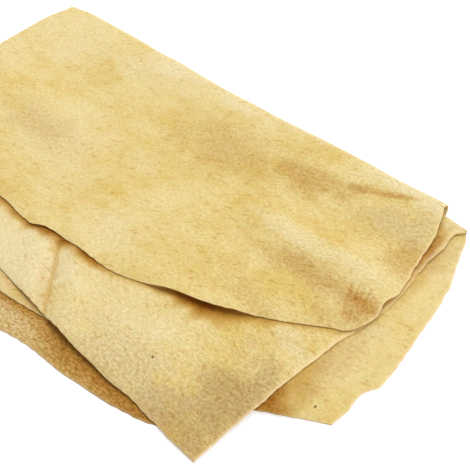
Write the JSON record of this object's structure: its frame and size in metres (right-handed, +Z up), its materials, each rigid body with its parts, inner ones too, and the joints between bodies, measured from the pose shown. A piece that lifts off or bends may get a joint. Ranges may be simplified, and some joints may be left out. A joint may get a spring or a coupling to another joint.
{
  "type": "chamois leather",
  "caption": "Natural-shaped chamois leather for drying and polishing, folded in quarters and laid flat, its leaves opening at the spine and side folds into one flat skin.",
  "frame": {"origin": "on the table, under the middle of the folded skin's bounding box", "axes": "+X along the spine fold, away from the closed corner; +Y across the leaves, towards the spine fold; +Z up"},
  "size_m": [0.4084, 0.2572, 0.0148],
  "materials": {
    "pale_skin": "dry oil-tanned suede, pale tan with ochre blotches and a short nap",
    "under_skin": "dry oil-tanned suede, browner and fuzzier on the leaf underneath"
  },
  "bodies": {
    "bottom_quarter": {"bottom_leaf": "under_skin"},
    "third_quarter": {"third_leaf": "pale_skin", "lower_side_fold": "under_skin"},
    "second_quarter": {"second_leaf": "pale_skin", "inner_spine_fold": "pale_skin", "corner_fold": "pale_skin"},
    "top_quarter": {"top_leaf": "pale_skin", "upper_side_fold": "pale_skin", "outer_spine_fold": "pale_skin"}
  },
  "joints": [
    {"name": "lower_side_turn", "type": "hinge", "parent": "bottom_quarter", "child": "third_quarter", "pos_m": [-0.20143, 0, 0.0028], "axis": [0, -1, 0], "range_deg": [0, 180], "deforming": ["lower_side_fold"]},
    {"name": "spine_turn", "type": "hinge", "parent": "third_quarter", "child": "second_quarter", "pos_m": [0, 0.12116, 0.0074], "axis": [-1, 0, 0], "range_deg": [0, 180], "deforming": ["inner_spine_fold", "outer_spine_fold", "corner_fold"]},
    {"name": "upper_side_turn", "type": "hinge", "parent": "second_quarter", "child": "top_quarter", "pos_m": [-0.20143, 0, 0.012], "axis": [0, -1, 0], "range_deg": [0, 180], "deforming": ["upper_side_fold"]}
  ],
  "couplings": [
    {"joint": "upper_side_turn", "follows": "lower_side_turn", "ratio": 1}
  ]
}
